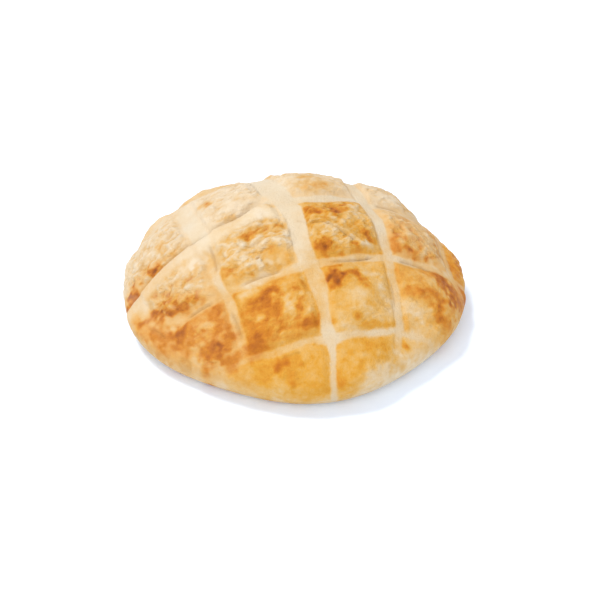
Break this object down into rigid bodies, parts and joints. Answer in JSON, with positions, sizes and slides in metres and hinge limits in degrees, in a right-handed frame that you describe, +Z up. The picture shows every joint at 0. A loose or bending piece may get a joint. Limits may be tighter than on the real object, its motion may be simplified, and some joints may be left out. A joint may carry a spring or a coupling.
{
  "type": "lepinja flatbread",
  "caption": "Round domed lepinja flatbread with a golden crust, pressed in a grid of score lines, lying on its flat underside.",
  "frame": {"origin": "centre of the bounding box on the table, under the middle of the bread", "axes": "+Z up out of the table, +X to the right and -Y towards the viewer as in the picture"},
  "size_m": [0.1678, 0.151, 0.0587],
  "materials": {
    "crust": "matt baked crust, golden pads with browner patches and pale pressed lines"
  },
  "bodies": {
    "root": {"bread": "crust"}
  },
  "joints": []
}
